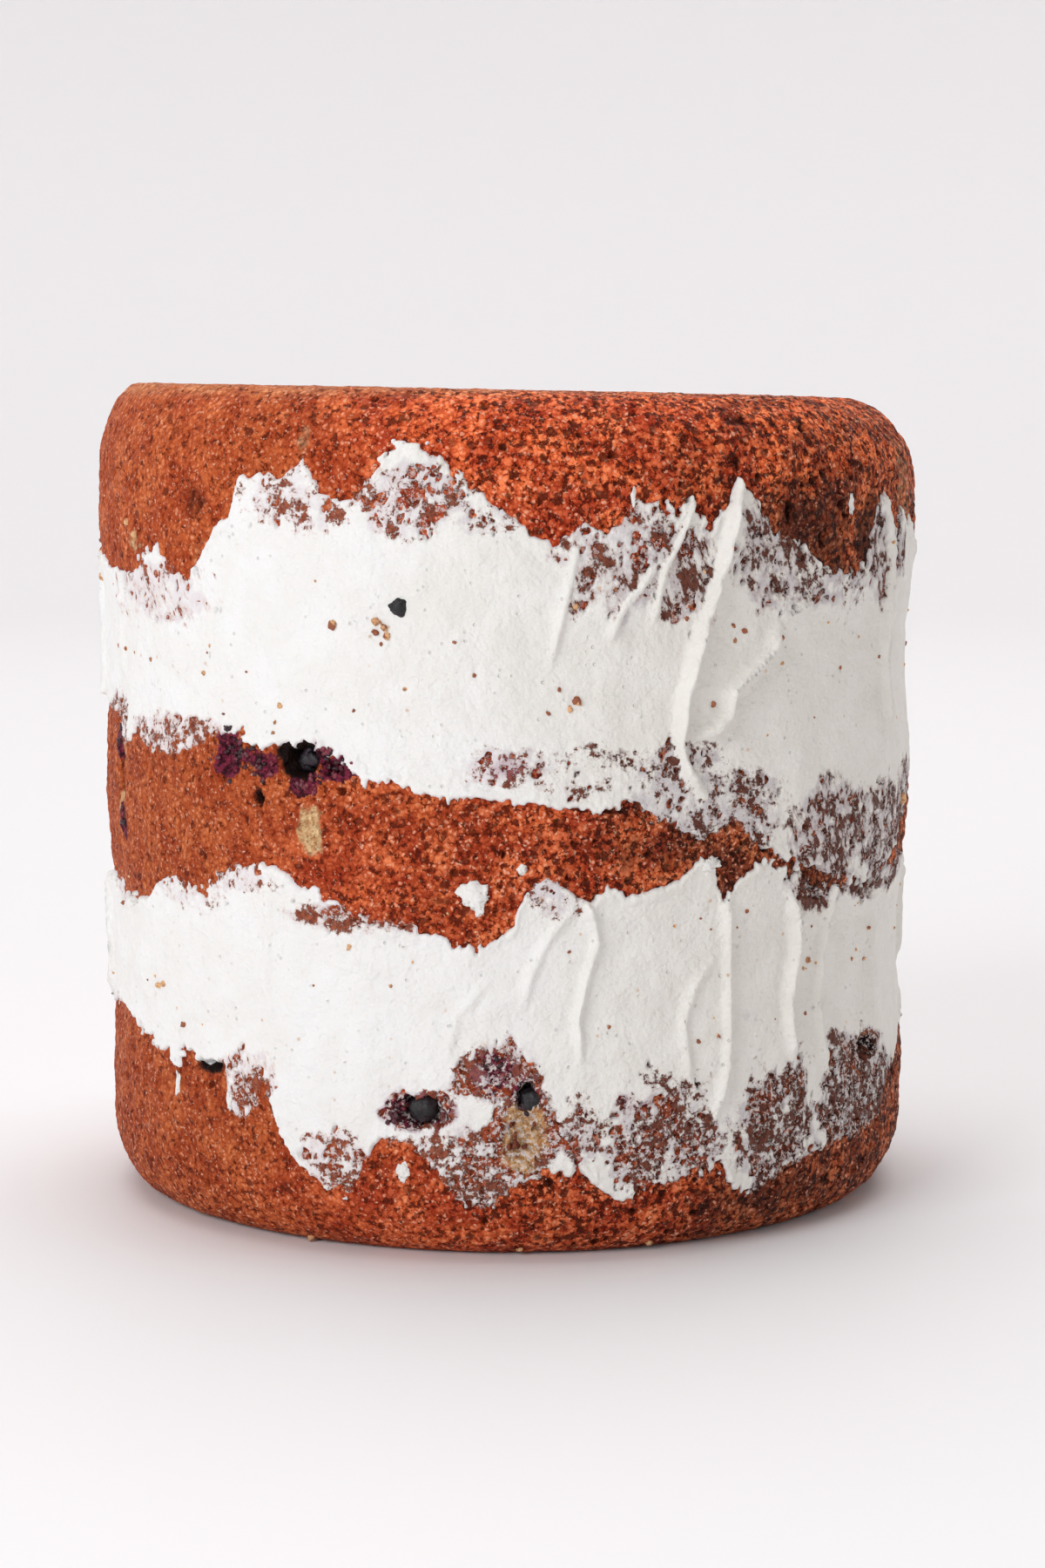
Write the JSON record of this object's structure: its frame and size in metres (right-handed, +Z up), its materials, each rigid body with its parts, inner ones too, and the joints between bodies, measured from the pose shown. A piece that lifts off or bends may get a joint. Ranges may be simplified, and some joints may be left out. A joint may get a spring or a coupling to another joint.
{
  "type": "layer cake",
  "caption": "Tall round sponge layer cake with cream fillings and a thin, unevenly scraped cream coat through which browned crust and a few berries show.",
  "frame": {"origin": "centre of the cake's foot, on the surface it stands on", "axes": "+Z up along the cake's axis, -Y towards the front of the cake, +X to its right"},
  "size_m": [0.1516, 0.1528, 0.1483],
  "materials": {
    "sponge": "browned porous cake crust, matt, red-brown to dark brown",
    "cream": "off-white whipped cream, soft satin, finely grained",
    "berry": "dark blue-black baked berry skin, moist"
  },
  "bodies": {
    "root": {"sponge_bottom": "sponge", "sponge_middle": "sponge", "sponge_top": "sponge", "filling_lower": "cream", "filling_upper": "cream", "berry_1": "berry", "berry_2": "berry", "berry_3": "berry", "berry_4": "berry", "berry_5": "berry", "berry_6": "berry", "berry_7": "berry"}
  },
  "joints": []
}
